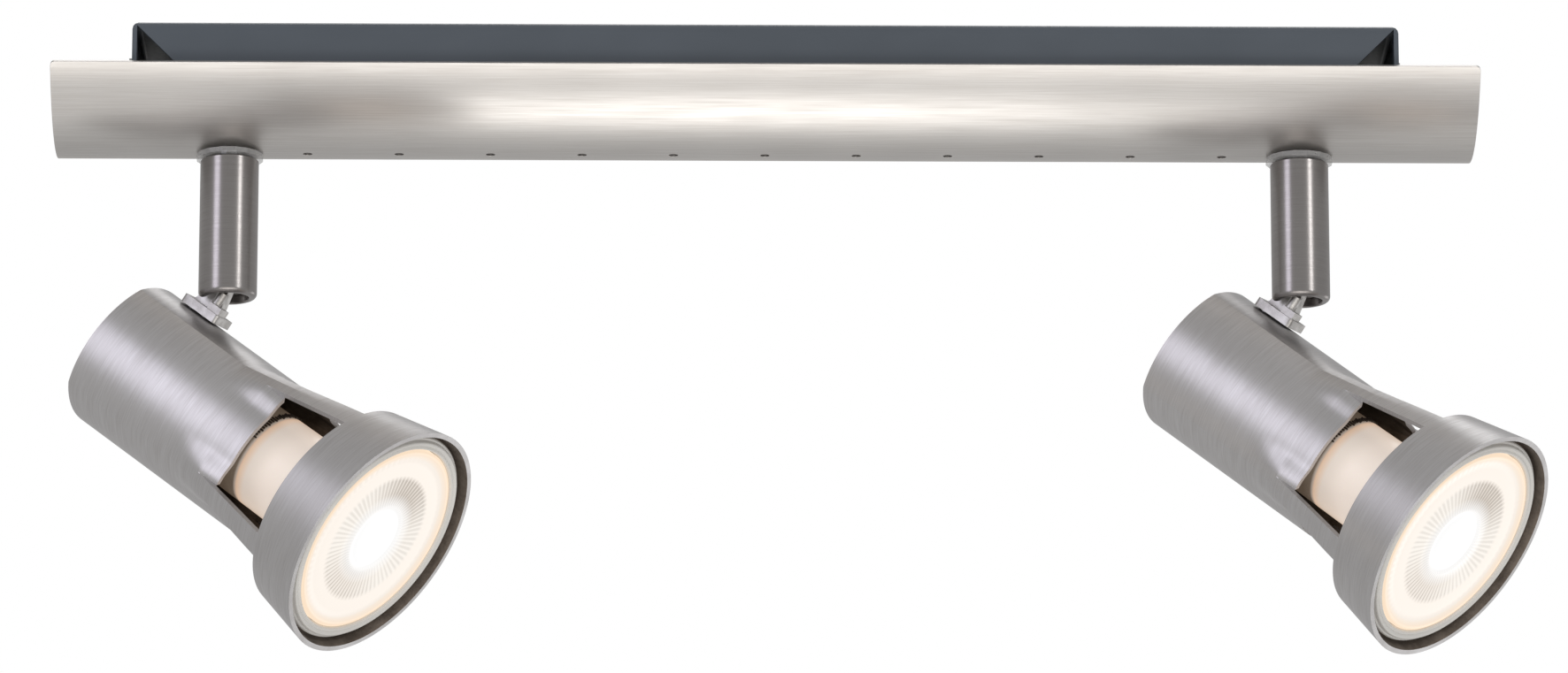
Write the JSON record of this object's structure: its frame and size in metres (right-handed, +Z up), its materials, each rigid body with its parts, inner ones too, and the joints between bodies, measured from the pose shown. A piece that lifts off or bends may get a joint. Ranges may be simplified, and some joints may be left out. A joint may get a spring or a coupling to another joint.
{
  "type": "ceiling spotlight bar",
  "caption": "Ceiling bar with a curved brushed cover over a mounting tray and two spotlight heads that turn and tilt on short stems.",
  "frame": {"origin": "middle of the tray's top face, which lies against the ceiling", "axes": "+Z up into the ceiling, +X along the bar, -Y the front"},
  "size_m": [0.324, 0.0723, 0.1372],
  "materials": {
    "brushed_nickel": "satin nickel, brushed",
    "stem_nickel": "satin nickel, turned and brushed",
    "grey_enamel": "slate grey, satin",
    "cast_zinc": "die-cast, nickel plated, as cast",
    "plated_steel": "zinc plated",
    "brass": "turned",
    "ceramic": "unglazed",
    "white_plastic": "moulded",
    "black_rubber": "moulded",
    "clear_plastic": "clear nylon",
    "lamp_glass": "frosted, lit from inside",
    "lamp_lens": "moulded optic, lit",
    "led_board": "phosphor and white board",
    "lead_sleeve": "woven glass sleeve"
  },
  "bodies": {
    "root": {"bar_cover": "brushed_nickel", "mounting_tray": "grey_enamel", "entry_grommet": "black_rubber", "terminal_block": "white_plastic", "earth_screw": "brass", "cover_tab_left": "plated_steel", "cover_screw_left": "plated_steel", "nipple_left": "plated_steel", "lock_washer_left": "plated_steel", "nipple_nut_left": "plated_steel", "stem_washer_left": "clear_plastic", "friction_washer_left": "plated_steel", "retaining_nut_left": "brass", "tray_lead_left": "lead_sleeve", "cover_tab_right": "plated_steel", "cover_screw_right": "plated_steel", "nipple_right": "plated_steel", "lock_washer_right": "plated_steel", "nipple_nut_right": "plated_steel", "stem_washer_right": "clear_plastic", "friction_washer_right": "plated_steel", "retaining_nut_right": "brass", "tray_lead_right": "lead_sleeve"},
    "stem_left": {"stem_tube_left": "stem_nickel", "clevis_left": "cast_zinc", "hinge_pin_left": "plated_steel"},
    "head_left": {"knuckle_left": "cast_zinc", "head_shell_left": "brushed_nickel", "rear_cap_left": "brushed_nickel", "holder_bracket_left": "plated_steel", "knuckle_screw_left": "plated_steel", "lampholder_left": "ceramic", "holder_screw_left_1": "plated_steel", "holder_screw_left_2": "plated_steel", "head_lead_left": "lead_sleeve"},
    "lamp_left": {"lamp_glass_left": "lamp_glass", "lamp_lens_left": "lamp_lens", "led_module_left": "led_board", "lamp_base_left": "white_plastic", "lamp_pin_left_1": "plated_steel", "lamp_pin_left_2": "plated_steel"},
    "stem_right": {"stem_tube_right": "stem_nickel", "clevis_right": "cast_zinc", "hinge_pin_right": "plated_steel"},
    "head_right": {"knuckle_right": "cast_zinc", "head_shell_right": "brushed_nickel", "rear_cap_right": "brushed_nickel", "holder_bracket_right": "plated_steel", "knuckle_screw_right": "plated_steel", "lampholder_right": "ceramic", "holder_screw_right_1": "plated_steel", "holder_screw_right_2": "plated_steel", "head_lead_right": "lead_sleeve"},
    "lamp_right": {"lamp_glass_right": "lamp_glass", "lamp_lens_right": "lamp_lens", "led_module_right": "led_board", "lamp_base_right": "white_plastic", "lamp_pin_right_1": "plated_steel", "lamp_pin_right_2": "plated_steel"}
  },
  "joints": [
    {"name": "pan_left", "type": "hinge", "parent": "root", "child": "stem_left", "pos_m": [-0.117, 0, -0.025], "axis": [0, 0, 1], "range_deg": [-175, 175]},
    {"name": "tilt_left", "type": "hinge", "parent": "stem_left", "child": "head_left", "pos_m": [-0.117, 0, -0.0525], "axis": [0.4384, 0.8988, 0], "range_deg": [-37.4, 52.6]},
    {"name": "lamp_twist_left", "type": "hinge", "parent": "head_left", "child": "lamp_left", "pos_m": [-0.11681, -0.00009, -0.08614], "axis": [0.714, -0.3482, -0.6074], "range_deg": [-25, 0]},
    {"name": "pan_right", "type": "hinge", "parent": "root", "child": "stem_right", "pos_m": [0.117, 0, -0.025], "axis": [0, 0, 1], "range_deg": [-175, 175]},
    {"name": "tilt_right", "type": "hinge", "parent": "stem_right", "child": "head_right", "pos_m": [0.117, 0, -0.0525], "axis": [0.515, 0.8572, 0], "range_deg": [-38.4, 51.6]},
    {"name": "lamp_twist_right", "type": "hinge", "parent": "head_right", "child": "lamp_right", "pos_m": [0.11668, 0.00019, -0.08614], "axis": [0.6718, -0.4036, -0.6211], "range_deg": [-25, 0]}
  ]
}
